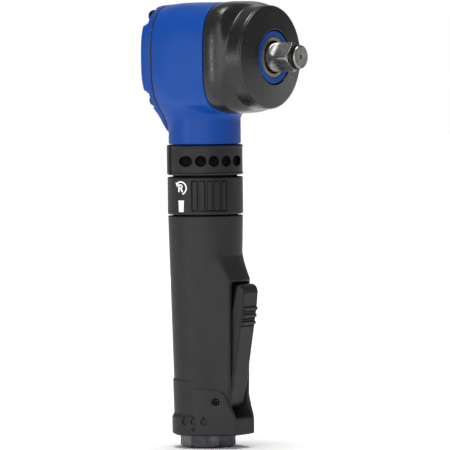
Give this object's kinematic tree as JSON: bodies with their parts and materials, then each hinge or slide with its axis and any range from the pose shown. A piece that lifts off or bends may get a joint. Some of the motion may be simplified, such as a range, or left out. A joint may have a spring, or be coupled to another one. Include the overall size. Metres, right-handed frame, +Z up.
{
  "type": "right-angle air impact wrench",
  "caption": "Slim lever-throttle air impact wrench with a right-angle hammer head, square drive, reversing ring and turning exhaust collar.",
  "frame": {"origin": "centre of the overall length and width, at the air inlet's lower face", "axes": "+Z up the handle's axis, +X along the output drive"},
  "size_m": [0.0924, 0.0636, 0.249],
  "materials": {
    "blue_paint": "satin",
    "gasket_paper": "matte",
    "dark_steel": "blackened",
    "black_rubber": "matte",
    "bronze": "satin",
    "steel": "satin",
    "aluminium": "satin",
    "black_nylon": "fine textured"
  },
  "bodies": {
    "housing": {"angle_housing": "blue_paint", "rear_cover": "blue_paint", "rear_gasket": "gasket_paper", "cover_screw_1": "dark_steel", "cover_screw_2": "dark_steel", "cover_screw_3": "dark_steel", "cover_screw_4": "dark_steel", "hammer_case": "blue_paint", "case_screw_1": "dark_steel", "case_screw_2": "dark_steel", "case_screw_3": "dark_steel", "case_screw_4": "dark_steel", "nose_guard": "black_rubber", "nose_bushing": "bronze", "rear_shaft_bearing": "steel", "upper_pinion_bearing": "steel", "lower_pinion_bearing": "steel", "motor_sleeve": "aluminium", "motor_cylinder": "steel", "front_end_plate": "aluminium", "rear_end_plate": "aluminium", "front_rotor_bearing": "steel", "rear_rotor_bearing": "steel", "handle_housing": "black_nylon", "lever_pin": "steel", "throttle_bushing": "bronze", "throttle_spring": "steel", "inlet_bushing": "dark_steel", "inlet_screen": "steel", "inlet_seal": "black_rubber"},
    "lever": {"throttle_lever": "black_nylon"},
    "throttle": {"throttle_valve": "steel"},
    "selector": {"selector_ring": "black_nylon", "selector_key": "steel", "reverse_valve": "bronze"},
    "exhaust": {"exhaust_collar": "black_nylon"},
    "motor": {"rotor": "steel", "vane_1": "black_nylon", "vane_2": "black_nylon", "vane_3": "black_nylon", "vane_4": "black_nylon", "vane_5": "black_nylon", "vane_6": "black_nylon", "bevel_pinion": "steel", "pinion_spacer": "steel"},
    "hammer": {"bevel_gear": "steel", "gear_shaft": "steel", "hammer_cage": "steel", "hammer_1": "dark_steel", "hammer_2": "dark_steel", "hammer_pin_1": "dark_steel", "hammer_pin_2": "dark_steel"},
    "drive": {"anvil": "steel", "socket_retainer": "dark_steel", "retainer_o_ring": "black_rubber"}
  },
  "joints": [
    {"name": "lever_press", "type": "hinge", "parent": "housing", "child": "lever", "pos_m": [-0.0051, 0, 0.026], "axis": [0, -1, 0], "range_deg": [0, 6], "stiffness_Nm_per_rad": 0.3, "springref_deg": -11.46},
    {"name": "throttle_stroke", "type": "slide", "parent": "housing", "child": "throttle", "axis": [-1, 0, 0], "range_m": [0, 0.0036], "deforming": ["throttle_spring"]},
    {"name": "selector_turn", "type": "hinge", "parent": "housing", "child": "selector", "pos_m": [-0.0206, 0, 0.1406], "axis": [0, 0, 1], "range_deg": [0, 60]},
    {"name": "exhaust_turn", "type": "hinge", "parent": "housing", "child": "exhaust", "pos_m": [-0.0206, 0, 0.1606], "axis": [0, 0, 1], "continuous": true},
    {"name": "motor_spin", "type": "hinge", "parent": "housing", "child": "motor", "pos_m": [-0.0206, 0, 0.126], "axis": [0, 0, 1], "continuous": true},
    {"name": "hammer_spin", "type": "hinge", "parent": "housing", "child": "hammer", "pos_m": [0, 0, 0.2177], "axis": [1, 0, 0], "continuous": true},
    {"name": "drive_spin", "type": "hinge", "parent": "housing", "child": "drive", "pos_m": [0.02, 0, 0.2177], "axis": [1, 0, 0], "continuous": true}
  ],
  "couplings": [
    {"joint": "throttle_stroke", "follows": "lever_press", "m_per_rad": 0.032},
    {"joint": "motor_spin", "follows": "hammer_spin", "ratio": 1.6667}
  ]
}
